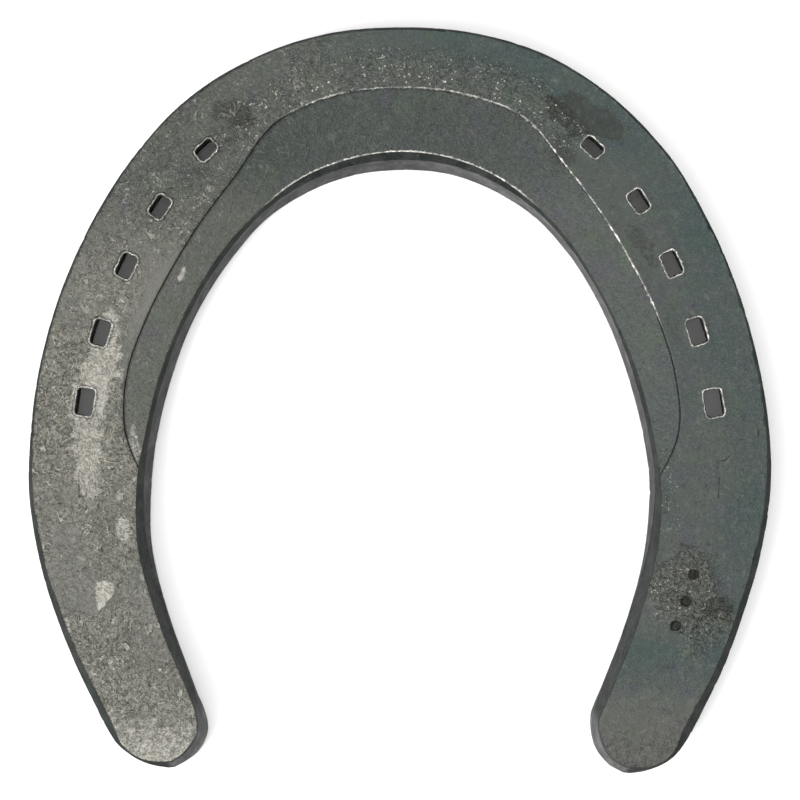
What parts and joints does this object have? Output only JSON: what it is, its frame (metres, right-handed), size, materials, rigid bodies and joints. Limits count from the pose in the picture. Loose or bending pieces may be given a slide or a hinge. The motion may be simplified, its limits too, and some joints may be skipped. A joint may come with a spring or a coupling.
{
  "type": "horseshoe",
  "caption": "U-shaped forged steel horseshoe with a flat ground face, relieved sole area, bevelled heels, a crease along each branch and tapered nail holes.",
  "frame": {"origin": "middle of the outline on the ground face", "axes": "+X towards the right branch seen from the foot side, +Y towards the toe, +Z from the ground face to the foot surface"},
  "size_m": [0.14, 0.141, 0.01],
  "materials": {
    "forged_steel": "dark grey-green forge scale, dull"
  },
  "bodies": {
    "root": {"shoe": "forged_steel"}
  },
  "joints": []
}
